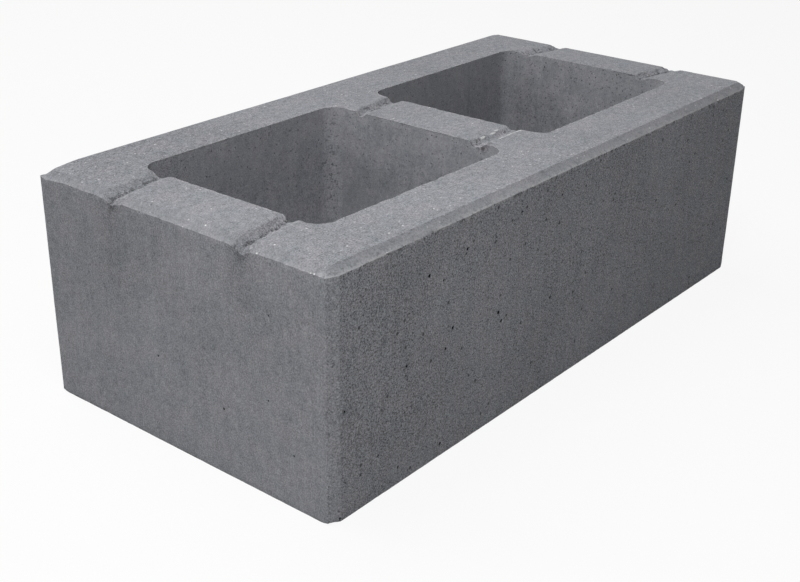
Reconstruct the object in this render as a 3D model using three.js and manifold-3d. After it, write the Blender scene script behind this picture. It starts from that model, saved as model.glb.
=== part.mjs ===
// A hollow concrete walling block: a rectangular block with two cores through it, three cross webs and
// two long face shells. Millimetres, +Z up. X runs along the block and Y across it, with the front face
// at -Y. The origin is the middle of the underside, which the block lies on.

import Module from 'manifold-3d';
import * as THREE from 'three';
import { mergeVertices } from 'three/addons/utils/BufferGeometryUtils.js';

// Overall size
const length = 500;
const width = 250;
const height = 160;

// Walls, measured at the top face
const endWeb = 45;
const middleWeb = 45;
const faceShell = 47;

// Cores: each is widest at the top, so that the mould's cores draw out upwards
const coreFillet = 12;
const coreDraft = 1.5;

// Outer edges: the top ones are shaped by the mould's pressing shoe, the corners by its walls
const topChamferWidth = 6;
const topChamferDrop = 4.5;
const cornerChamfer = 5;

// Grooves that the mould's two core bars leave across the webs. Each has a steep side towards the back
// and an easy one towards the front.
const grooveInset = 24.5;
const grooveDepth = 4.5;
const grooveFloor = 2.5;
const grooveSteepRun = 4.5;
const grooveEasyRun = 12;

// Facets
const filletSegments = 6;
const grooveSegments = 8;

// How far a cutter runs past the faces that it cuts
const overrun = 10;

const coreLength = (length - 2 * endWeb - middleWeb) / 2;
const coreWidth = width - 2 * faceShell;
const corePitch = coreLength + middleWeb;
const grooveOffset = coreWidth / 2 - grooveInset;

const wasm = await Module();
wasm.setup();

function toSolid(geometry) {
  geometry.deleteAttribute('normal');
  geometry.deleteAttribute('uv');
  const merged = mergeVertices(geometry);
  const vertProperties = merged.attributes.position.array;
  const triVerts = new Uint32Array(merged.index.array);
  return new wasm.Manifold(new wasm.Mesh({ numProp: 3, vertProperties, triVerts }));
}

function toGeometry(solid) {
  const mesh = solid.getMesh();
  const geometry = new THREE.BufferGeometry();
  geometry.setAttribute('position', new THREE.BufferAttribute(mesh.vertProperties, 3));
  geometry.setIndex(new THREE.BufferAttribute(mesh.triVerts, 1));
  const faceted = geometry.toNonIndexed();
  faceted.computeVertexNormals();
  return faceted;
}

// The block's outline from above: a rectangle with its corners cut off at 45 degrees.
function chamferedRectangle(sizeX, sizeY, chamfer) {
  const x = sizeX / 2;
  const y = sizeY / 2;
  const shape = new THREE.Shape();
  shape.moveTo(x, chamfer - y);
  shape.lineTo(x, y - chamfer);
  shape.lineTo(x - chamfer, y);
  shape.lineTo(chamfer - x, y);
  shape.lineTo(-x, y - chamfer);
  shape.lineTo(-x, chamfer - y);
  shape.lineTo(chamfer - x, -y);
  shape.lineTo(x - chamfer, -y);
  shape.closePath();
  return shape;
}

// A core's outline from above: a rectangle with rounded corners.
function roundedRectangle(sizeX, sizeY, radius) {
  const x = sizeX / 2 - radius;
  const y = sizeY / 2 - radius;
  const quarter = Math.PI / 2;
  const shape = new THREE.Shape();
  shape.absarc(x, y, radius, 0, quarter);
  shape.absarc(-x, y, radius, quarter, 2 * quarter);
  shape.absarc(-x, -y, radius, 2 * quarter, 3 * quarter);
  shape.absarc(x, -y, radius, 3 * quarter, 4 * quarter);
  shape.closePath();
  return shape;
}

// A groove's section, with Y to the right and the block's top face at 0. Both sides are S-curves, so
// that the shoulders and the floor are rounded.
function grooveSection() {
  const front = -grooveFloor / 2;
  const back = grooveFloor / 2;
  const frontShoulder = front - grooveEasyRun;
  const backShoulder = back + grooveSteepRun;
  const frontBend = front - grooveEasyRun / 2;
  const backBend = back + grooveSteepRun / 2;
  const shape = new THREE.Shape();
  shape.moveTo(frontShoulder, 0);
  shape.bezierCurveTo(frontBend, 0, frontBend, -grooveDepth, front, -grooveDepth);
  shape.lineTo(back, -grooveDepth);
  shape.bezierCurveTo(backBend, -grooveDepth, backBend, 0, backShoulder, 0);
  shape.lineTo(backShoulder, overrun);
  shape.lineTo(frontShoulder, overrun);
  shape.closePath();
  return shape;
}

// The block without its cores and grooves. The extrusion's bevel makes the chamfer round the top, and
// the one that it also makes below the underside is cut away.
function outerBlock() {
  const body = new THREE.ExtrudeGeometry(chamferedRectangle(length, width, cornerChamfer), {
    depth: height - topChamferDrop,
    bevelThickness: topChamferDrop,
    bevelSize: topChamferWidth,
    bevelOffset: -topChamferWidth,
    bevelSegments: 1,
  });
  const below = new THREE.BoxGeometry(length + overrun, width + overrun, 2 * topChamferDrop);
  below.translate(0, 0, -topChamferDrop);
  return toSolid(body).subtract(toSolid(below));
}

// One core, centred on x, drawn in by coreDraft on every side from the top face to the underside.
function core(x) {
  const radius = Math.min(coreFillet, coreLength / 2, coreWidth / 2);
  const geometry = new THREE.ExtrudeGeometry(roundedRectangle(coreLength, coreWidth, radius), {
    depth: height + 2 * overrun,
    bevelEnabled: false,
    curveSegments: filletSegments,
  });
  geometry.translate(0, 0, -overrun);
  const points = geometry.attributes.position;
  for (let i = 0; i < points.count; i += 1) {
    const inset = coreDraft * (1 - points.getZ(i) / height);
    points.setX(i, points.getX(i) * (1 - 2 * inset / coreLength));
    points.setY(i, points.getY(i) * (1 - 2 * inset / coreWidth));
  }
  geometry.translate(x, 0, 0);
  return toSolid(geometry);
}

// One core-bar groove, with its floor centred on y. It runs the block's whole length, and so crosses
// all three webs.
function barGroove(y) {
  const geometry = new THREE.ExtrudeGeometry(grooveSection(), {
    depth: length + 2 * overrun,
    bevelEnabled: false,
    curveSegments: grooveSegments,
  });
  const alongY = new THREE.Vector3(0, 1, 0);
  const alongZ = new THREE.Vector3(0, 0, 1);
  const alongX = new THREE.Vector3(1, 0, 0);
  geometry.applyMatrix4(new THREE.Matrix4().makeBasis(alongY, alongZ, alongX));
  geometry.translate(-length / 2 - overrun, y, height);
  return toSolid(geometry);
}

function castBlock() {
  let block = outerBlock();
  for (const side of [-1, 1]) {
    block = block.subtract(core(side * corePitch / 2));
    block = block.subtract(barGroove(side * grooveOffset));
  }
  return block;
}

const concrete = new THREE.MeshStandardMaterial({ color: 0x8d8d91, roughness: 0.95, metalness: 0 });

const block = new THREE.Mesh(toGeometry(castBlock()), concrete);
block.name = 'block';

const model = new THREE.Group();
model.add(block);

export default model;
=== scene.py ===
"""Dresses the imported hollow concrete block: its worn and pored surface, the concrete, and a plain stage."""
import math
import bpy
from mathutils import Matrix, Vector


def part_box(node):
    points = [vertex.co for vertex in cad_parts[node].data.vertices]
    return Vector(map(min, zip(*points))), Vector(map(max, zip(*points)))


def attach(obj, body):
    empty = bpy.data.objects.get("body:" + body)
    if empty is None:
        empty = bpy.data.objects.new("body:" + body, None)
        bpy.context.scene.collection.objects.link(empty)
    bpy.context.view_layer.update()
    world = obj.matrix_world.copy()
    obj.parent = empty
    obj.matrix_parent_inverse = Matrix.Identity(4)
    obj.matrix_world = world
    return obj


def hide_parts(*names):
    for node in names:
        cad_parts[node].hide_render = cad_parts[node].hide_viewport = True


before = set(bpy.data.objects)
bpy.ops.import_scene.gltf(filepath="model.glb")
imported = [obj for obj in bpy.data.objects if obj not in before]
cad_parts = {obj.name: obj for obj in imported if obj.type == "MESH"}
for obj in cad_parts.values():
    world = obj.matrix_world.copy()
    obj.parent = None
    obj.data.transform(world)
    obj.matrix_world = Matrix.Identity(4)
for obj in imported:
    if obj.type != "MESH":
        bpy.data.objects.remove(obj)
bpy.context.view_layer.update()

from types import SimpleNamespace
from typing import NamedTuple

import bmesh
import bpy
import numpy as np
from mathutils import Quaternion, Vector, noise

bl_info = {
    "name": "Hollow concrete block",
    "version": (1, 0, 0),
    "blender": (4, 5, 0),
    "location": "View3D > Sidebar > Block",
    "description": "Builds a cast hollow concrete block with worn arrises, and a pale stage to see it on",
    "category": "Object",
}

MM = 0.001
BLOCK_LOW, BLOCK_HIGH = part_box("block")


# --- what this block took from its mould and its handling, in mm ------------------------------------------

class BarCrossing(NamedTuple):
    """The groove that one of the mould's core bars left across one web."""
    x0: float        # the web's two faces
    x1: float
    y0: float        # the middle of the groove's floor at each of them
    y1: float
    steep: float     # the run of its steep side, which is the one towards +Y
    easy0: float     # the run of its easy side at each face
    easy1: float
    depth0: float    # its depth at each face
    depth1: float
    # The darkness at the foot of the steep side is painted shade there, over real cracks and pits.
    crack_shade: float     # how dark the crack at the foot of the steep side is, up to 1


class Spot(NamedTuple):
    """A soft-edged spot on the block."""
    middle: tuple
    reach: tuple     # how far it reaches along each axis


BAR_CROSSINGS = [
    BarCrossing(-250, -205, 53.0, 57.5, 6.5, 9.0, 8.0, 4.9, 3.0, 1.0),
    BarCrossing(-250, -205, -58.5, -55.0, 5.5, 6.0, 6.5, 5.6, 3.2, 1.0),
    BarCrossing(-22.5, 22.5, 51.0, 57.8, 3.6, 5.5, 10.0, 3.2, 3.6, 0.25),
    BarCrossing(-22.5, 22.5, -54.0, -53.0, 4.5, 6.5, 6.0, 3.2, 2.0, 0.3),
    BarCrossing(205, 250, 58.0, 50.5, 6.5, 9.0, 7.0, 2.6, 2.6, 0.7),
    BarCrossing(205, 250, -52.5, -59.5, 5.5, 9.0, 9.0, 2.8, 2.5, 0.7),
]
FLOOR_HALF = 1.25    # half the width of each groove's floor

# The largest pores: along and up the long face at -Y, or across and up the end at -X, and their radii.
FACE_PORES = [
    (-90.4, 78.7, 1.6), (-163.4, 128.9, 1.4), (-148.2, 8.5, 1.4), (-69.7, 143.0, 1.4),
    (-138.9, 86.3, 1.4), (-87.0, 71.7, 1.4), (-126.7, 134.4, 1.4), (-145.6, 74.4, 1.3),
    (-190.2, 11.6, 1.2), (-238.0, 70.8, 1.2), (-149.6, 121.5, 1.1), (-22.6, 140.9, 1.3),
    (-29.4, 67.7, 1.3), (-183.2, 77.6, 1.1), (-184.5, 46.9, 1.0), (-208.6, 28.3, 1.0),
    (-242.6, 1.6, 1.4),
]
END_PORES = [
    (-38.4, 45.5, 1.1), (18.9, 61.5, 0.9), (-95.9, 36.0, 0.9), (-76.5, 65.2, 0.9), (-78.8, 120.3, 0.8),
]
PORE_DEPTH = 1.1
PORE_CUTS = 9        # how finely the blank's faces are cut where they hold a large pore

# Painted highlights on the crests beside the middle web's groove at -Y, with their half-lengths along and
# across.
CREST_HIGHLIGHTS = [
    Spot((x, y, 159.0), (run, width, 6.0)) for x, y, run, width in [
        (-9.0, -49.2, 4.0, 0.9), (2.5, -49.5, 4.5, 0.8), (8.5, -48.0, 4.0, 0.8), (3.0, -57.2, 5.0, 2.1),
        (9.5, -58.6, 7.0, 2.1), (16.0, -59.1, 7.0, 2.1), (21.5, -60.2, 4.0, 1.8),
    ]
]
DARK_CLOUD = Spot((-175.0, 100.0, 160.0), (100.0, 60.0, 40.0))    # on the top by the worn corner
CORNER_PITS = Spot((-25.0, 79.0, 114.0), (13.0, 13.0, 60.0))      # up a corner of the core at -X
ROUGH_WALL = Spot((-190.0, 78.0, 120.0), (50.0, 6.0, 60.0))       # in the same core, on its wall at +Y
MOUTH_PITS = Spot((-19.0, -58.0, 158.0), (8.0, 9.0, 7.0))         # at the mouth of the middle web's groove
RUST = Spot((-22.5, -59.1, 157.0), (2.0, 2.6, 2.0))               # in the same mouth
SCRATCH = Spot((-212.8, 98.7, 160.0), (3.6, 0.8, 2.0))            # on the top by the worn corner

# The worn corner at -X and +Y: how far from it the top sinks and how much, and the same for its chamfer.
WORN_CORNER_REACH = 32.0
WORN_CORNER_DROP = 2.2
WORN_CHAMFER_REACH = 9.0
WORN_CHAMFER_SHARE = 0.6

MOUTH_DROP = 2.5         # how far the grooves' crumbled mouths lie below the chamfer
TOP_WEAR_REACH = 30.0    # how far down the walls follow the wear of the top
FOOT_CORNER_LIFT = 1.6   # how much the foot is rubbed away at each corner
FOOT_CORNER_REACH = 9.0  # how far from the corner
FOOT_WEAR_REACH = 6.0    # how far up the walls follow the wear of the foot

TOUCHING = 0.01          # points this near each other count as one
CUT_EDGE = 0.2           # points this far past a corner's cut still count with it
NOWHERE = 99.0           # a distance that is past all wear
SEED_STEP = (17.31, 5.77, 11.13)    # how far apart in the noise two seeds lie


class Seed:
    """One seed for each use of the noise, so that no two of them are alike."""
    WANDER = 3
    RAGGED = 4
    WAVES = 11
    LUMPS = 12
    FINE = 13
    CHIPS = 14
    BROKEN = 15
    NOTCHES = 16
    PORES = 21
    CHAMFER = 31


# --- shapes -----------------------------------------------------------------------------------------------

def rungs(start, *stops):
    """Line positions from start through each (end, widest gap), evenly divided between them."""
    lines = [start]
    for end, gap in stops:
        first = lines[-1]
        count = max(1, math.ceil(abs(end - first) / gap - 1e-6))
        lines += [first + (end - first) * k / count for k in range(1, count + 1)]
    return lines


def both_ways(half):
    """The same lines on both sides of zero."""
    return [-line for line in reversed(half[1:])] + half


def ease(t):
    """A smooth step from 0 to 1."""
    t = np.clip(t, 0.0, 1.0)
    return t * t * (3.0 - 2.0 * t)


def near(distance, reach):
    """1 at no distance, fading away over the reach."""
    return np.exp(-(distance / reach) ** 2)


def grains(points, size, seed):
    """Smooth noise from about -1 to 1 at each point, with lumps of the given size in mm."""
    shift = Vector([seed * step for step in SEED_STEP])
    return np.array([noise.noise(Vector(p) / size + shift) for p in points])


class CastShape:
    """The block's surface in mm, from the plain blank with square cores that the mesh starts as."""

    # how far from the cores and from the block's upright corners the grid gives way to their shape
    GIVE_AT_CORES = 17.0
    GIVE_AT_CORNERS = 16.0

    def __init__(self, sizes):
        self.half_length = sizes.length / MM / 2
        self.half_width = sizes.width / MM / 2
        self.height = sizes.height / MM
        self.core_half_width = self.half_width - sizes.face_shell / MM
        self.core_near = sizes.middle_web / MM / 2
        self.core_far = self.half_length - sizes.end_web / MM
        self.core_middle = (self.core_near + self.core_far) / 2
        self.core_half_length = (self.core_far - self.core_near) / 2
        self.fillet = sizes.core_fillet / MM
        self.draft = sizes.core_draft / MM
        self.chamfer_width = sizes.chamfer_width / MM
        self.chamfer_drop = sizes.chamfer_drop / MM
        self.corner_on_end = sizes.corner_on_end / MM
        self.corner_on_face = sizes.corner_on_face / MM

    def blank(self):
        """The block as a fine grid of faces, square at every edge and finest along the arrises."""
        band = 36.0    # the grooves lie past this line
        rim = 0.5      # the narrow strips along the arrises
        xs = both_ways(rungs(
            0.0, (self.core_near - rim - 1.3, 2.2), (self.core_near - rim, 1.3), (self.core_near, rim),
            (self.core_near + self.fillet, 1.8), (self.core_far - self.fillet, 3.3),
            (self.core_far, 1.8), (self.core_far + rim, rim), (self.core_far + rim + 1.3, 1.3),
            (self.half_length - self.corner_on_face, 2.2), (self.half_length - self.chamfer_width, 2.0),
            (self.half_length - rim, 1.9), (self.half_length, rim),
        ))
        ys = both_ways(rungs(
            0.0, (band, 3.2), (self.core_half_width - self.fillet, 1.35),
            (self.core_half_width, 1.8), (self.core_half_width + rim, rim),
            (self.core_half_width + rim + 1.3, 1.3),
            (self.half_width - self.chamfer_width, 2.6), (self.half_width - self.corner_on_end, 1.5),
            (self.half_width - rim, 1.3), (self.half_width, rim),
        ))
        zs = rungs(
            0.0, (rim, rim), (2.0, 1.5), (4.4, 2.4), (self.height - 16.0, 4.2),
            (self.height - 7.0, 2.8), (self.height - 2.0, 1.7), (self.height - rim, 1.5),
            (self.height, rim),
        )
        mesh = bmesh.new()
        bmesh.ops.create_grid(mesh, x_segments=len(xs) - 1, y_segments=len(ys) - 1, size=1.0)
        for vert in mesh.verts:
            vert.co.x = xs[round((vert.co.x + 1.0) / 2.0 * (len(xs) - 1))]
            vert.co.y = ys[round((vert.co.y + 1.0) / 2.0 * (len(ys) - 1))]
        middles = [(face, face.calc_center_median()) for face in mesh.faces]
        in_core = [
            face for face, c in middles
            if self.core_near < abs(c.x) < self.core_far and abs(c.y) < self.core_half_width
        ]
        bmesh.ops.delete(mesh, geom=in_core, context="FACES")
        risen = bmesh.ops.extrude_face_region(mesh, geom=mesh.faces[:], use_keep_orig=True)
        raised = [part for part in risen["geom"] if isinstance(part, bmesh.types.BMVert)]
        bmesh.ops.translate(mesh, verts=raised, vec=(0.0, 0.0, 1.0))
        upright = [e for e in mesh.edges if abs(e.verts[0].co.z - e.verts[1].co.z) > 0.5]
        bmesh.ops.subdivide_edges(mesh, edges=upright, cuts=len(zs) - 2)
        for vert in mesh.verts:
            vert.co.z = zs[round(vert.co.z * (len(zs) - 1))]
        bmesh.ops.recalc_face_normals(mesh, faces=mesh.faces[:])
        outside = [
            face for face in mesh.faces
            if max(vert.co.y for vert in face.verts) < TOUCHING - self.half_width
            or max(vert.co.x for vert in face.verts) < TOUCHING - self.half_length
        ]
        pored = {face for face in outside if self.holds_pore(face)}
        edges = [edge for edge in mesh.edges if pored.intersection(edge.link_faces)]
        bmesh.ops.subdivide_edges(mesh, edges=edges, cuts=PORE_CUTS, use_grid_fill=True, use_single_edge=True)
        for edge in mesh.edges:
            edge.smooth = not self.is_arris(edge)
        return mesh

    def pore_places(self):
        """The middles and the radii of the large pores."""
        middles = [(x, -self.half_width, z) for x, z, _ in FACE_PORES]
        middles += [(-self.half_length, y, z) for y, z, _ in END_PORES]
        return np.array(middles), np.array([pore[2] for pore in FACE_PORES + END_PORES])

    def holds_pore(self, face):
        """Whether a face of the blank reaches into a large pore."""
        low = np.min([vert.co for vert in face.verts], axis=0)
        high = np.max([vert.co for vert in face.verts], axis=0)
        middles, radii = self.pore_places()
        gaps = np.linalg.norm(np.clip(middles, low, high) - middles, axis=1)
        return bool(np.any(gaps < radii + 0.1))

    def pores(self, p):
        """1 in the middle of each large pore, falling to 0 at its ragged rim."""
        deep = np.zeros(len(p))
        for middle, radius in zip(*self.pore_places()):
            close = np.flatnonzero(np.all(np.abs(p - middle) < radius * 2, axis=1))
            ragged = 1.0 + 0.35 * grains(p[close], 1.0, Seed.PORES)
            away = np.linalg.norm(p[close] - middle, axis=1) / radius * ragged
            deep[close] = 1.0 - ease((away - 0.6) / 0.4)
        return deep

    def is_arris(self, edge):
        """Whether an edge of the blank is a sharp line of the cast block."""
        levels = {round(abs(face.normal.z)) for face in edge.link_faces}
        if len(levels) == 2:
            return True
        a, b = (vert.co for vert in edge.verts)
        in_x = [self.half_length - abs(p.x) for p in (a, b)]
        in_y = [self.half_width - abs(p.y) for p in (a, b)]
        if levels == {0}:
            on_end = max(in_x) < TOUCHING and all(abs(y - self.corner_on_end) < TOUCHING for y in in_y)
            on_face = max(in_y) < TOUCHING and all(abs(x - self.corner_on_face) < TOUCHING for x in in_x)
            return on_end or on_face
        on_top = min(a.z, b.z) > 1.0
        return on_top and all(abs(min(x, y) - self.chamfer_width) < TOUCHING for x, y in zip(in_x, in_y))

    def core_depth(self, p):
        """How far each point lies outside the nearest core's square outline, along the length and across."""
        return (np.abs(np.abs(p[:, 0]) - self.core_middle) - self.core_half_length,
                np.abs(p[:, 1]) - self.core_half_width)

    def rounded(self, p):
        """Turns the square corners of the cores into arcs, and cuts the block's upright corners."""
        along, across = self.core_depth(p)
        into_x = -np.sign(p[:, 0]) * np.sign(np.abs(p[:, 0]) - self.core_middle)
        into_y = -np.sign(p[:, 1])
        swap = along > across
        run = np.where(swap, -across, -along)
        depth = np.where(swap, along, across)
        run = np.clip(run, 0.0, self.fillet)
        depth = np.where((along > 0) & (across > 0), np.maximum(along, across), depth)
        turn = (1.0 - run / self.fillet) * math.pi / 4
        pull_run = self.fillet * (1.0 - np.sin(turn)) - run
        pull_depth = self.fillet * (1.0 - np.cos(turn))
        weight = 1.0 - ease(depth / self.GIVE_AT_CORES)
        pull_run, pull_depth = pull_run * weight, pull_depth * weight
        out = p.copy()
        out[:, 0] += into_x * np.where(swap, pull_depth, pull_run)
        out[:, 1] += into_y * np.where(swap, pull_run, pull_depth)
        in_x = self.half_length - np.abs(p[:, 0])
        in_y = self.half_width - np.abs(p[:, 1])
        run = np.clip(np.maximum(in_x / self.corner_on_face, in_y / self.corner_on_end), 0.0, 1.0)
        cut = (1.0 - run) / 2 * (1.0 - ease(np.minimum(in_x, in_y) / self.GIVE_AT_CORNERS))
        out[:, 0] -= np.sign(p[:, 0]) * cut * self.corner_on_face
        out[:, 1] -= np.sign(p[:, 1]) * cut * self.corner_on_end
        return out

    def edge_distance(self, p):
        """How far each point lies inside the block's outline, its cut corners among it."""
        in_x = self.half_length - np.abs(p[:, 0])
        in_y = self.half_width - np.abs(p[:, 1])
        in_corner = in_x / self.corner_on_face + in_y / self.corner_on_end - 1.0
        in_corner /= math.hypot(1.0 / self.corner_on_face, 1.0 / self.corner_on_end)
        return np.minimum(np.minimum(in_x, in_y), in_corner)

    def grooves(self, p):
        """At each point, the grooves' depth, and how far it lies on a steep side, a shoulder or a crack."""
        deep, steep, shoulder, crack_shade = np.zeros((4, len(p)))
        wander = grains(p * (1, 0, 0), 14.0, Seed.WANDER) * 1.6
        wander += grains(p * (1, 1, 0), 5.0, Seed.RAGGED) * 1.3
        for bar in BAR_CROSSINGS:
            on_web = (p[:, 0] >= bar.x0 - 2) & (p[:, 0] <= bar.x1 + 2)
            t = np.clip((p[:, 0] - bar.x0) / (bar.x1 - bar.x0), 0.0, 1.0)
            across = p[:, 1] - (bar.y0 + (bar.y1 - bar.y0) * t) + wander
            easy = bar.easy0 + (bar.easy1 - bar.easy0) * t
            up_steep = ease((across - FLOOR_HALF) / bar.steep)
            up_easy = ease((-across - FLOOR_HALF) / easy)
            depth = (bar.depth0 + (bar.depth1 - bar.depth0) * t) * (1.0 - np.maximum(up_steep, up_easy))
            deep = np.maximum(deep, np.where(on_web, depth, 0.0))
            on_steep = ease((across + 1.0) / 2.0) * (1.0 - ease((across - bar.steep + 1.0) / 2.0))
            steep = np.maximum(steep, on_web * on_steep)
            shoulder = np.maximum(shoulder, on_web * near(across + FLOOR_HALF + easy * 0.7, 1.3))
            crack_shade = np.maximum(crack_shade, bar.crack_shade * on_web * near(across - 1.4, 1.2))
        return deep, steep, shoulder, crack_shade

    def stains(self, p):
        """How far each point lies in the dark runs that fade out down the ends below the grooves."""
        down = np.maximum(self.height - self.chamfer_drop - p[:, 2], 0.0)
        deep = np.zeros(len(p))
        for bar in BAR_CROSSINGS:
            end, y = (bar.x0, bar.y0) if bar.x0 < 0 else (bar.x1, bar.y1)
            if abs(end) > self.half_length - 1:
                run = near(p[:, 1] - y - 2.0, 10.0 + down * 0.10) * near(down, 45.0)
                deep = np.maximum(deep, run * (np.sign(end) * p[:, 0] > self.half_length - 1.0))
        return deep

    def mouths(self, p):
        """How far each point lies across the crumbled mouths of the grooves on the end at -X."""
        crumbled = np.zeros(len(p))
        for bar in BAR_CROSSINGS:
            if bar.x0 < 1 - self.half_length:
                crumbled = np.maximum(crumbled, near(p[:, 1] - bar.y0 + 1.0, 7.0))
        return crumbled * (p[:, 0] < self.chamfer_width - self.half_length)

    def cast(self, p):
        """Where each point of the blank ends up on the cast block, and its marks."""
        plan = self.rounded(p)
        lie = self.survey(p, plan)
        out = self.tapered(self.lowered(p, plan, lie), p, lie)
        return out, self.marks(p, out, lie)

    def survey(self, p, plan):
        """How each point lies to the cores, to the block's outline and to the grooves."""
        lie = SimpleNamespace()
        lie.from_core = np.maximum(*self.core_depth(p))
        lie.on_core = np.abs(lie.from_core) < TOUCHING
        lie.in_x = self.half_length - np.abs(plan[:, 0])
        lie.in_y = self.half_width - np.abs(plan[:, 1])
        lie.from_corner = np.hypot(lie.in_x, lie.in_y)
        lie.outline = np.maximum(self.edge_distance(plan), 0.0)
        lie.on_chamfer = np.clip(1.0 - lie.outline / self.chamfer_width, 0, 1)
        lie.mouth = self.mouths(plan)
        lie.groove, lie.steep, lie.shoulder, lie.crack_shade = self.grooves(plan)
        return lie

    def lowered(self, p, plan, lie):
        """The points with the chamfer, the grooves and the worn places let into the top and the foot."""
        worn = np.hypot(plan[:, 0] + self.half_length, plan[:, 1] - self.half_width)
        chamfer_drop = self.chamfer_drop * (1.0 + 0.12 * grains(plan * (1, 1, 0), 9.0, Seed.CHAMFER))
        chamfer_drop *= 1.0 - WORN_CHAMFER_SHARE * (1.0 - ease(worn / WORN_CHAMFER_REACH))
        drop = np.maximum(chamfer_drop * lie.on_chamfer, lie.groove)
        drop += WORN_CORNER_DROP * (1.0 - ease(worn / WORN_CORNER_REACH))
        drop += MOUTH_DROP * lie.mouth * lie.on_chamfer
        out = plan.copy()
        out[:, 2] -= drop * ease((p[:, 2] - (self.height - TOP_WEAR_REACH)) / TOP_WEAR_REACH)
        rubbed = FOOT_CORNER_LIFT * (1.0 - ease(lie.from_corner / FOOT_CORNER_REACH))
        out[:, 2] += rubbed * (1.0 - ease(p[:, 2] / FOOT_WEAR_REACH))
        return out

    def tapered(self, out, p, lie):
        """The points with the cores' walls drawn in towards the foot."""
        taper = self.draft * (1.0 - p[:, 2] / self.height) * lie.on_core
        middle = np.sign(out[:, 0]) * self.core_middle
        out[:, 0] = middle + (out[:, 0] - middle) * (1.0 - taper / self.core_half_length)
        out[:, 1] *= 1.0 - taper / self.core_half_width
        return out

    def marks(self, p, out, lie):
        """What the relief and the material read at each point: mostly how near it lies to an arris."""
        is_top = p[:, 2] > self.height - TOUCHING
        flat = is_top | (p[:, 2] < TOUCHING)
        below = self.height - p[:, 2]
        on_side = lie.outline < 0.05
        to_level = np.minimum(below, p[:, 2])
        rim = np.where(flat, np.abs(lie.from_core), NOWHERE)
        rim = np.minimum(rim, np.where(lie.on_core, to_level, NOWHERE))
        outer = np.where(flat, lie.outline, NOWHERE)
        outer = np.minimum(outer, np.where(on_side, to_level, NOWHERE))
        to_end = np.hypot(lie.in_x, lie.in_y - self.corner_on_end)
        to_face = np.hypot(lie.in_x - self.corner_on_face, lie.in_y)
        upright = np.where(on_side, np.minimum(to_end, to_face), NOWHERE)
        cut_x, cut_y = self.corner_on_face + CUT_EDGE, self.corner_on_end + CUT_EDGE
        on_face = np.abs(p[:, 1]) > self.half_width - TOUCHING
        past_cut = self.half_length - np.abs(p[:, 0]) > cut_x
        return {
            "arris": near(np.minimum(outer, upright), 1.3),
            "lip": near(outer, 1.2) * (1.0 - 0.8 * near(lie.from_corner, 9.0)),
            "bared": np.where(is_top, near(lie.outline, 2.2), on_side * near(below, 0.7)),
            "rim": near(rim, 1.0),
            "chamfer": np.where(is_top, np.clip(self.chamfer_width + 0.3 - lie.outline, 0.0, 1.0), 0.0),
            "margin": is_top * near(lie.outline, 14.0),
            "under": on_side * near(below, 1.9),
            "spall": lie.mouth * np.where(on_side, near(below, 4.0), is_top * lie.on_chamfer ** 0.5),
            "cut": on_side & (lie.in_x < cut_x) & (lie.in_y < cut_y),
            "stain": self.stains(out) * on_side,
            "steep": lie.steep * is_top,
            "shoulder": lie.shoulder * is_top,
            "crack_shade": lie.crack_shade * is_top,
            # The foot mark is read for a painted contact shadow along the ends' foot.
            "foot": on_side * near(p[:, 2], 1.6),
            "side": on_side & ~is_top,
            "face": on_face & ~is_top & past_cut,
            "bore": lie.on_core & ~is_top,
            "pore": self.pores(p),
        }

    def relief(self, p, marks):
        """How far in mm the surface lies below the mould's at each point: waves, pores, crumbled arrises."""
        wave = 0.12 * (1.0 + grains(p, 55.0, Seed.WAVES))
        lumps = 0.06 * (1.0 + grains(p, 8.0, Seed.LUMPS))
        fine = np.maximum(grains(p, 3.6, Seed.FINE), 0.0)
        chips = np.maximum(grains(p, 13.0, Seed.CHIPS) - 0.25, 0.0)
        notches = np.maximum(grains(p, 6.0, Seed.NOTCHES) - 0.15, 0.0) * (p[:, 2] > self.height / 2)
        arris = marks["arris"] * (0.08 + 0.10 * fine + 0.4 * chips)
        lip = marks["lip"] * (0.10 + 0.35 * fine + 0.8 * chips + 1.6 * notches)
        rim = marks["rim"] * (0.10 + 0.7 * fine + 0.9 * chips)
        spall = marks["spall"] * (0.2 + 1.2 * fine)
        rough = marks["steep"] * (0.2 + 1.0 * grains(p, 3.2, Seed.BROKEN))
        crumbled = np.maximum.reduce([arris, lip, rim, spall])
        return wave + lumps + crumbled + np.maximum(rough, 0.0) + PORE_DEPTH * marks["pore"]


# The marks that the material reads. Two more, arris and lip, are for the relief alone.
MATERIAL_MARKS = (
    "bared", "rim", "chamfer", "margin", "under", "spall", "cut", "stain",
    "steep", "shoulder", "crack_shade", "foot", "side", "face", "bore", "pore",
)


def write_mark(mesh, name, values):
    """Keeps one number at each point of the mesh, for the material to read."""
    mark = mesh.attributes.new(name, "FLOAT", "POINT")
    mark.data.foreach_set("value", values.astype(np.float32))


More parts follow.
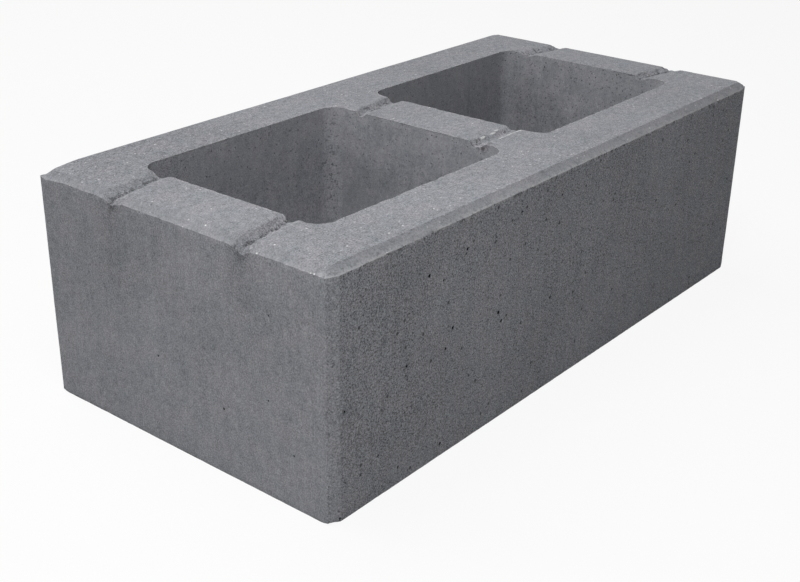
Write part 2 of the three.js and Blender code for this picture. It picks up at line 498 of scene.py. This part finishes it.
class BLOCK_OT_cast_block(bpy.types.Operator):
    """Build the block in its cast and worn shape, in place of the plain solid"""
    bl_idname = "block.cast_block"
    bl_label = "Cast the block"

    def execute(self, context):
        shape = CastShape(context.scene.block_sizes)
        blank = shape.blank()
        points = np.array([vert.co for vert in blank.verts])
        cast, marks = shape.cast(points)
        for vert, place in zip(blank.verts, cast):
            vert.co = place
        blank.normal_update()
        normals = np.array([vert.normal for vert in blank.verts])
        worn = cast - normals * shape.relief(cast, marks)[:, None]
        worn = np.clip(worn, np.array(BLOCK_LOW) / MM, np.array(BLOCK_HIGH) / MM)
        is_foot = points[:, 2] < TOUCHING
        worn[is_foot, 2] = cast[is_foot, 2]
        for vert, place in zip(blank.verts, worn):
            vert.co = Vector(place) * MM
        mesh = bpy.data.meshes.new("cast_block")
        blank.to_mesh(mesh)
        blank.free()
        for name in MATERIAL_MARKS:
            write_mark(mesh, name, marks[name])
        mesh.polygons.foreach_set("use_smooth", [True] * len(mesh.polygons))
        piece = bpy.data.objects.new("cast_block", mesh)
        context.scene.collection.objects.link(piece)
        mesh.materials.append(concrete(context.scene.concrete_look))
        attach(piece, "root")
        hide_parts("block")
        return {"FINISHED"}


# --- materials --------------------------------------------------------------------------------------------

class Wire:
    """A socket that can be reckoned with: + - and * add Math nodes."""

    def __init__(self, graph, socket):
        self.graph = graph
        self.socket = socket

    def _math(self, operation, *values):
        return self.graph.node("ShaderNodeMath", {"operation": operation}, dict(enumerate(values)))

    def __add__(self, other):
        return self._math("ADD", self, other)

    def __sub__(self, other):
        return self._math("SUBTRACT", self, other)

    def __mul__(self, other):
        return self._math("MULTIPLY", self, other)

    def __rsub__(self, other):
        return self._math("SUBTRACT", other, self)

    __radd__ = __add__
    __rmul__ = __mul__

    def between(self, low, high):
        """0 below low, 1 above high, and a smooth step between; low may be the larger one."""
        return self.graph.node(
            "ShaderNodeMapRange", {"interpolation_type": "SMOOTHSTEP"},
            {"Value": self, "From Min": low, "From Max": high, "To Min": 0.0, "To Max": 1.0})


class Graph:
    """The nodes of one material or world."""

    def __init__(self, tree):
        self.tree = tree
        tree.nodes.clear()

    def node(self, kind, settings=None, sockets=None, out=0):
        """One node with its settings, then the values or wires of its sockets; gives one output."""
        made = self.tree.nodes.new(kind)
        for name, value in (settings or {}).items():
            setattr(made, name, value)
        for name, value in (sockets or {}).items():
            if isinstance(value, Wire):
                self.tree.links.new(value.socket, made.inputs[name])
            else:
                made.inputs[name].default_value = value
        return Wire(self, made.outputs[out]) if made.outputs else None

    def scaled(self, vector, factor):
        """A vector or colour times one number."""
        return self.node("ShaderNodeVectorMath", {"operation": "SCALE"}, {0: vector, "Scale": factor})

    def stretched(self, vector, factors):
        """A vector times one number along each axis."""
        return self.node("ShaderNodeVectorMath", {"operation": "MULTIPLY"}, {0: vector, 1: factors})

    def mixed(self, factor, a, b):
        """Colour a where the factor is 0, and b where it is 1; 6, 7 and 2 are the node's colour sockets."""
        return self.node("ShaderNodeMix", {"data_type": "RGBA"}, {0: factor, 6: a, 7: b}, out=2)

    def noise(self, vector, size, detail=2.0, rough=0.5):
        """Noise from about 0 to 1 with lumps of the given size."""
        return self.node("ShaderNodeTexNoise", None, {
            "Vector": vector, "Scale": 1.0 / size, "Detail": detail, "Roughness": rough})

    def cells(self, vector, size):
        """Distance to the nearest of many scattered points, in sizes, and one chance number for each."""
        away = self.node("ShaderNodeTexVoronoi", None, {"Vector": vector, "Scale": 1.0 / size})
        colour = Wire(self, away.socket.node.outputs["Color"])
        return away, self.node("ShaderNodeSeparateColor", None, {0: colour})

    def blot(self, vector, spot):
        """1 in the middle of a spot and 0 beyond its reach along each axis."""
        away = self.node("ShaderNodeVectorMath", {"operation": "SUBTRACT"}, {0: vector, 1: spot.middle})
        away = self.stretched(away, tuple(1.0 / span for span in spot.reach))
        length = self.node("ShaderNodeVectorMath", {"operation": "LENGTH"}, {0: away}, out=1)
        return length.between(1.0, 0.5)

    def mark(self, name):
        """A number kept at the points of the mesh."""
        return self.node("ShaderNodeAttribute", {"attribute_name": name}, out=2)


def rgba(colour):
    """A colour with full alpha."""
    return (*colour, 1.0)


WHITE = rgba((1.0, 1.0, 1.0))


class Skin:
    """What the concrete is reckoned from: the place in mm, noises from fine to broad and the marks."""

    def __init__(self, graph):
        place = graph.node("ShaderNodeTexCoord", out=3)
        self.mm = graph.scaled(place, 1.0 / MM)
        self.along, self.across, self.up = (
            graph.node("ShaderNodeSeparateXYZ", None, {0: self.mm}, out=axis) for axis in range(3))
        self.grain = graph.noise(self.mm, 1.0, 2.0, 0.75)
        self.sand = graph.noise(self.mm, 4.0, 2.0, 0.6)
        self.mottle = graph.noise(self.mm, 16.0, 2.0, 0.55)
        self.patches = graph.noise(self.mm, 26.0, 2.0, 0.5)
        self.broad = graph.noise(self.mm, 70.0, 1.0, 0.5)
        self.streaks = graph.noise(graph.stretched(self.mm, (1.0, 1.0, 0.09)), 3.4, 2.0, 0.6)
        for name in MATERIAL_MARKS:
            setattr(self, name, graph.mark(name))
        self.end = self.side - self.face
        self.upright = self.side + self.bore
        self.level = 1.0 - self.upright
        squared = self.across * self.across    # the same on both sides of the middle line
        self.on_shell = self.level * squared.between(3600.0, 7225.0)
        self.web_wall = self.bore * squared.between(5700.0, 4500.0)
        self.long_edge = squared.between(13000.0, 14200.0)
        self.strength = (0.75 - self.end * 0.05 + self.face * 0.65 - self.bore * 0.1 - self.web_wall * 0.15
                         + self.cut * 0.3 + self.on_shell * 0.1) * (1.0 - self.chamfer * 0.4)


def cement_tone(graph, skin, look):
    """How bright the cement is at each place, where 1 is plain; some of its terms are painted light and
    shade.
    """
    clumps = (0.3 - skin.upright * 0.12 - skin.face * 0.08) * (1.0 - skin.chamfer * 0.5)
    cloud = graph.blot(skin.mm, DARK_CLOUD)
    return sum([
        (skin.grain - 0.5) * skin.strength * look.grain,
        (skin.sand - 0.5) * look.grain * clumps,
        (skin.mottle - 0.5) * look.mottle * (1.0 - skin.face * 0.4),
        (skin.broad - 0.5) * look.mottle,
        skin.upright * (skin.streaks - 0.5) * look.streaks,
        skin.chamfer * 0.01,
        # The grooves' steep sides a little lighter: painted light against their own shading.
        skin.steep * 0.02,
        # The top a little lighter towards +X: a painted light gradient.
        skin.level * (skin.along * 0.0003 - cloud * 0.10),
        # The ends darker towards +Y: painted shade.
        skin.end * skin.across * -0.0004,
        skin.stain * skin.streaks.between(0.2, 0.6) * -0.22,
        skin.spall * -0.25,
        # The long faces a little darker as painted shade, and paler towards the foot as painted light from
        # the floor.
        skin.face * (skin.up.between(45.0, 5.0) * 0.10 - 0.04),
        # The cores' walls lighter towards the top: painted light falling in from above.
        skin.bore * skin.up.between(110.0, 158.0) * 0.20,
        # The web walls lighter towards -X: painted light; their mottle is the concrete's own.
        skin.web_wall * (0.02 - skin.along * 0.0003 + (skin.mottle - 0.5) * 0.30),
    ], 1.0)


def white_specks(graph, skin):
    """Where pale sand grains show: most of them on the top, towards its edges."""
    away, chance = graph.cells(skin.mm, 3.6)
    many = chance + skin.margin * 0.10 + skin.on_shell * 0.08 + skin.bared * skin.level * 0.10
    speck = away.between(0.22, 0.08) * many.between(0.78, 0.88) * (1.0 - skin.upright * 0.7)
    return speck * (1.0 - skin.spall) * (0.35 + skin.mottle.between(0.42, 0.62) * 0.75)


def small_pores(graph, skin):
    """The middling pores, and the pin holes between them."""
    away, chance = graph.cells(skin.mm, 8.0)
    pore = away.between(0.16, 0.11) * (chance + skin.face * 0.12).between(0.80, 0.82)
    pore = pore * (0.3 + skin.face * 0.6)
    away, chance = graph.cells(skin.mm, 2.7)
    return pore, away.between(0.24, 0.13) * chance.between(0.58, 0.70)


def arris_coats(graph, skin, look):
    """The worn arrises, the painted shade in the notches under them and at the ends' foot, a painted
    highlight on the grooves' shoulders and the specks: how much of each, and its colour.
    """
    grain, sand = skin.grain, skin.sand
    lip = skin.bared * (1.0 - skin.spall) * sand.between(0.34, 0.50) * (0.14 + skin.long_edge * 0.26)
    # Painted shade in the chipped notches under the long faces' top arris.
    notch_shade = skin.under * skin.face * sand.between(0.45, 0.38)
    return [
        (skin.rim * grain.between(0.38, 0.62) * look.worn, look.pale),
        (lip, look.pale),
        # A pale line along the grooves' shoulders: a painted highlight.
        (skin.shoulder * sand.between(0.48, 0.56) * look.worn, look.pale),
        # With it a painted contact shadow along the ends' foot.
        (notch_shade * 0.7 + skin.foot * skin.end * 0.25, look.dark),
        (white_specks(graph, skin) * 0.9, look.bright),
    ]


def groove_coats(graph, skin, look):
    """The same for the grooves: rough steep sides and cracks at their feet with painted shade, painted
    highlights on crests, crumbled mouths.
    """
    grain, sand, mottle = skin.grain, skin.sand, skin.mottle
    broken_shade = grain.between(0.46, 0.34) * 0.2 * mottle.between(0.35, 0.55) + sand.between(0.42, 0.36) * 0.6
    gritty = grain.between(0.58, 0.42) * 0.45 + sand.between(0.54, 0.44) * 0.35 + 0.25
    # The grain of the painted highlights on the crests.
    worn = grain.between(0.34, 0.48)
    return [
        # Painted shade on the grooves' steep sides, in rough patches.
        (skin.steep * broken_shade, look.dark),
        # Painted shade at the steep sides' feet, over cracks and pits.
        (skin.crack_shade.between(0.05, 0.75) * gritty * (1.0 - skin.spall), look.dark),
        *((graph.blot(skin.mm, spot) * worn * 0.7, look.bright) for spot in CREST_HIGHLIGHTS),
        (skin.spall * grain.between(0.52, 0.40) * 0.55, look.dark),
    ]


def hollow_coats(graph, skin, look, pore, pin):
    """The same for the pores and pits, darkened as painted shade in them, the rust spot and the scratch."""
    grain, sand = skin.grain, skin.sand
    patchy = skin.patches.between(0.50, 0.60)
    pin_dark = pin * (skin.upright * 0.55 + skin.face * 0.4 + skin.bore * patchy * 0.4
                      + skin.stain * 0.5 + skin.on_shell * 0.3)
    corner_pits = graph.blot(skin.mm, CORNER_PITS) * sand.between(0.43, 0.35)
    rough_wall = graph.blot(skin.mm, ROUGH_WALL) * grain.between(0.49, 0.37)
    mouth_pits = graph.blot(skin.mm, MOUTH_PITS) * sand.between(0.52, 0.40)
    hollow = pore + pin_dark + corner_pits * 0.5 + rough_wall * 0.4 + mouth_pits * 0.5
    return [
        # Painted shade in the pores, pin holes and pits.
        (hollow * 0.9, look.dark),
        # Deeper painted shade in the largest pores.
        (skin.pore.between(0.10, 0.75), look.deep),
        (graph.blot(skin.mm, RUST) * 0.6, look.rust),
        (graph.blot(skin.mm, SCRATCH) * 0.6, look.dark),
    ]


def concrete(look):
    """Cast grey concrete: sand grain, pale specks, pores, a mottled cement skin and worn arrises, with
    painted light and shade in its tone, its hollows and its grooves.
    """
    material = bpy.data.materials.new("concrete")
    material.use_nodes = True
    graph = Graph(material.node_tree)
    skin = Skin(graph)
    pore, pin = small_pores(graph, skin)
    body = graph.mixed(skin.mottle.between(0.35, 0.65), rgba(look.cool), rgba(look.warm))
    body = graph.scaled(body, cement_tone(graph, skin, look))
    coats = arris_coats(graph, skin, look) + groove_coats(graph, skin, look)
    for amount, colour in coats + hollow_coats(graph, skin, look, pore, pin):
        body = graph.mixed(amount, body, rgba(colour))
    height = (skin.grain - 0.5) * skin.strength * 0.35 + (skin.sand - 0.5) * (0.45 - skin.face * 0.33)
    height = height - pore - pin * skin.upright * 0.8
    bump = graph.node("ShaderNodeBump", None, {"Strength": 1.0, "Distance": look.relief, "Height": height})
    rough = 0.88 + (skin.grain - 0.5) * 0.15
    shader = graph.node("ShaderNodeBsdfPrincipled", None, {
        "Base Color": body, "Roughness": rough, "Normal": bump, "Specular IOR Level": 0.1})
    graph.node("ShaderNodeOutputMaterial", None, {"Surface": shader})
    return material


# --- stage ------------------------------------------------------------------------------------------------

def seen_white(graph):
    """1 where a camera, glossy or transmission ray arrives, 0 where light is gathered."""
    rays = graph.node("ShaderNodeLightPath").socket.node.outputs
    seen = [Wire(graph, rays[name]) for name in ("Is Camera Ray", "Is Glossy Ray", "Is Transmission Ray")]
    return graph.node("ShaderNodeMath", {"operation": "MINIMUM"}, {0: seen[0] + seen[1] + seen[2], 1: 1.0})


def paper(look):
    """A pale floor that is seen nearly white and keeps the block's shadow."""
    material = bpy.data.materials.new("paper")
    material.use_nodes = True
    graph = Graph(material.node_tree)
    lit = graph.node("ShaderNodeBsdfDiffuse", None, {"Color": rgba(look.floor_colour)})
    glow = graph.node("ShaderNodeEmission", None, {"Color": WHITE, "Strength": 1.0})
    both = graph.node("ShaderNodeMixShader", None, {0: seen_white(graph) * look.whiteness, 1: lit, 2: glow})
    graph.node("ShaderNodeOutputMaterial", None, {"Surface": both})
    return material


def soft_lamp(context, name, place, aim, size, power):
    """A square soft lamp at place, turned towards aim."""
    lamp = bpy.data.lights.new(name, "AREA")
    lamp.size = size
    lamp.energy = power
    holder = bpy.data.objects.new(name, lamp)
    context.scene.collection.objects.link(holder)
    holder.location = place
    holder.visible_camera = False
    holder.rotation_euler = (Vector(aim) - Vector(place)).to_track_quat("-Z", "Y").to_euler()


class BLOCK_OT_set_stage(bpy.types.Operator):
    """Set up the pale floor, the soft lamps, the white surroundings and the camera"""
    bl_idname = "block.set_stage"
    bl_label = "Set the stage"

    def execute(self, context):
        scene = context.scene
        look = scene.stage_look
        mesh = bmesh.new()
        bmesh.ops.create_circle(mesh, cap_ends=True, segments=64, radius=look.floor_radius)
        bmesh.ops.translate(mesh, verts=mesh.verts[:], vec=(0.0, 0.0, -look.floor_gap))
        data = bpy.data.meshes.new("floor")
        mesh.to_mesh(data)
        mesh.free()
        data.materials.append(paper(look))
        floor = bpy.data.objects.new("floor", data)
        scene.collection.objects.link(floor)

        world = bpy.data.worlds.new("surroundings")
        world.use_nodes = True
        graph = Graph(world.node_tree)
        seen = seen_white(graph)
        strength = seen + (1.0 - seen) * look.ambient
        glow = graph.node("ShaderNodeBackground", None, {"Color": WHITE, "Strength": strength})
        graph.node("ShaderNodeOutputWorld", None, {"Surface": glow})
        scene.world = world

        aim = (0.0, 0.0, 0.1)    # inside the block
        soft_lamp(context, "back_lamp", look.back_place, aim, look.back_size, look.back_power)
        soft_lamp(context, "side_lamp", look.side_place, aim, look.side_size, look.side_power)
        soft_lamp(context, "end_lamp", look.end_place, aim, look.end_size, look.end_power)

        lens = bpy.data.cameras.new("camera")
        lens.sensor_width = 36.0
        lens.lens = look.lens
        lens.clip_end = 100.0
        camera = bpy.data.objects.new("camera", lens)
        scene.collection.objects.link(camera)
        ahead = Vector((math.cos(look.heading) * math.cos(look.pitch),
                        math.sin(look.heading) * math.cos(look.pitch), -math.sin(look.pitch)))
        camera.location = look.camera_place
        turn = ahead.to_track_quat("-Z", "Y") @ Quaternion((0.0, 0.0, 1.0), look.roll)
        camera.rotation_euler = turn.to_euler()
        scene.camera = camera
        scene.view_settings.view_transform = "Standard"
        return {"FINISHED"}


# --- settings ---------------------------------------------------------------------------------------------

def metres(name, description, default):
    """A length that a user may change."""
    return bpy.props.FloatProperty(
        name=name, description=description, default=default, min=0.0, subtype="DISTANCE", unit="LENGTH")


def share(name, description, default):
    """A strength that a user may change."""
    return bpy.props.FloatProperty(name=name, description=description, default=default, subtype="FACTOR")


def tint(name, description, default):
    """A linear colour that a user may change."""
    return bpy.props.FloatVectorProperty(
        name=name, description=description, default=default, size=3, min=0.0, max=1.0, subtype="COLOR")


def point(name, description, default):
    """A place that a user may change, in metres."""
    return bpy.props.FloatVectorProperty(
        name=name, description=description, default=default, size=3, subtype="TRANSLATION", unit="LENGTH")


def degrees(name, description, default):
    """An angle that a user may change, given in degrees."""
    return bpy.props.FloatProperty(
        name=name, description=description, default=math.radians(default), subtype="ANGLE", unit="ROTATION")


def watts(name, description, default):
    """A lamp's power that a user may change."""
    return bpy.props.FloatProperty(
        name=name, description=description, default=default, min=0.0, subtype="POWER", unit="POWER")


class BlockSizes(bpy.types.PropertyGroup):
    """The block's sizes"""
    length: metres("Length", "The block's length", BLOCK_HIGH.x - BLOCK_LOW.x)
    width: metres("Width", "The block's width", BLOCK_HIGH.y - BLOCK_LOW.y)
    height: metres("Height", "The block's height", BLOCK_HIGH.z - BLOCK_LOW.z)
    end_web: metres("End web", "Thickness of each end web", 45 * MM)
    middle_web: metres("Middle web", "Thickness of the middle web", 45 * MM)
    face_shell: metres("Face shell", "Thickness of each long wall", 47 * MM)
    core_fillet: metres("Core fillet", "Radius of the cores' upright corners", 12 * MM)
    core_draft: metres("Core draft", "How much each core wall leans in at the foot", 1.5 * MM)
    chamfer_width: metres("Top chamfer width", "Width of the chamfer round the top", 6 * MM)
    chamfer_drop: metres("Top chamfer drop", "How far that chamfer drops", 4.5 * MM)
    corner_on_end: metres("Corner cut on the ends", "Width of each upright corner's cut on the end", 3 * MM)
    corner_on_face: metres("Corner cut on the faces", "Width of that cut on the long face", 8 * MM)


class ConcreteLook(bpy.types.PropertyGroup):
    """The concrete's colours and contrasts"""
    cool: tint("Cool grey", "The bluer grey of the cement", (0.278, 0.288, 0.3095))
    warm: tint("Warm grey", "The warmer grey of the cement", (0.288, 0.2885, 0.3085))
    # Also the colour of the painted highlight on the grooves' shoulders.
    pale: tint("Worn grain", "The paler grains bared along the arrises", (0.50, 0.50, 0.51))
    # Also the colour of the painted highlights on the crests.
    bright: tint("Bright grain", "Scattered white sand grains", (0.76, 0.76, 0.76))
    # Painted shade in the pores, pits, notches, cracks, on the grooves' steep sides and at the ends' foot;
    # also the crumbled mouths and the scratch.
    dark: tint("Pores", "The dark inside of small pores", (0.07, 0.07, 0.075))
    # Painted shade in the largest pores.
    deep: tint("Large pores", "The darker inside of the largest pores", (0.012, 0.012, 0.014))
    rust: tint("Rust spot", "The brown of the small spot on the middle web", (0.085, 0.060, 0.058))
    grain: share("Grain", "Contrast of the fine grain", 2.4)
    mottle: share("Mottle", "Contrast of the cloudy patches", 0.25)
    streaks: share("Streaks", "Contrast of the upright streaks on the walls", 0.28)
    # Also how strong the painted highlight on the grooves' shoulders is.
    worn: share("Worn arrises", "How pale the worn arrises are", 0.5)
    relief: metres("Relief", "Height of the finest relief", 0.6 * MM)


class StageLook(bpy.types.PropertyGroup):
    """The floor, the light and the camera"""
    floor_colour: tint("Floor", "Colour of the floor", (0.80, 0.80, 0.80))
    floor_radius: metres("Floor radius", "How far the floor reaches", 12.0)
    floor_gap: metres("Floor gap", "How far the floor lies under the block", 0.1 * MM)
    whiteness: share("Whiteness", "How much of the floor is seen as plain white", 0.90)
    ambient: share("Ambient", "Strength of the light from all round", 0.02)
    back_place: point("Back lamp", "Where the back lamp hangs", (-0.15, 1.0, 1.6))
    back_size: metres("Back lamp size", "Side of the back lamp", 1.8)
    back_power: watts("Back lamp power", "Power of the back lamp", 23.7)
    side_place: point("Side lamp", "Where the side lamp hangs", (-0.6, -0.5, 1.0))
    side_size: metres("Side lamp size", "Side of the side lamp", 0.5)
    side_power: watts("Side lamp power", "Power of the side lamp", 4.9)
    end_place: point("End lamp", "Where the end lamp hangs", (-0.45, -0.1, 0.9))
    end_size: metres("End lamp size", "Side of the end lamp", 0.5)
    end_power: watts("End lamp power", "Power of the end lamp", 2.4)
    camera_place: point("Camera", "Where the camera stands", (-0.693, -0.530, 0.427))
    heading: degrees("Camera heading", "Direction the camera looks in, from +X", 38.9)
    pitch: degrees("Camera pitch", "How far the camera looks down", 24.8)
    roll: degrees("Camera roll", "How far the camera leans", 0.89)
    lens: bpy.props.FloatProperty(name="Lens", description="Focal length", default=56.75, unit="CAMERA")


class BLOCK_PT_panel(bpy.types.Panel):
    """Lists the block's steps and settings"""
    bl_idname = "BLOCK_PT_panel"
    bl_label = "Hollow concrete block"
    bl_space_type = "VIEW_3D"
    bl_region_type = "UI"
    bl_category = "Block"

    def draw(self, context):
        for step in (BLOCK_OT_set_stage, BLOCK_OT_cast_block):
            self.layout.operator(step.bl_idname)
        for group in (context.scene.block_sizes, context.scene.concrete_look, context.scene.stage_look):
            for name in group.bl_rna.properties.keys():
                if name not in ("rna_type", "name"):
                    self.layout.prop(group, name)


CLASSES = (BlockSizes, ConcreteLook, StageLook, BLOCK_OT_set_stage, BLOCK_OT_cast_block, BLOCK_PT_panel)


def register():
    """Adds the settings, the steps and the panel to Blender."""
    for cls in CLASSES:
        bpy.utils.register_class(cls)
    bpy.types.Scene.block_sizes = bpy.props.PointerProperty(type=BlockSizes)
    bpy.types.Scene.concrete_look = bpy.props.PointerProperty(type=ConcreteLook)
    bpy.types.Scene.stage_look = bpy.props.PointerProperty(type=StageLook)


def unregister():
    """Takes them away again."""
    del bpy.types.Scene.stage_look
    del bpy.types.Scene.concrete_look
    del bpy.types.Scene.block_sizes
    for cls in reversed(CLASSES):
        bpy.utils.unregister_class(cls)


def main():
    """Sets the stage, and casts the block."""
    register()
    bpy.ops.block.set_stage()
    bpy.ops.block.cast_block()


if __name__ == "__main__":
    main()
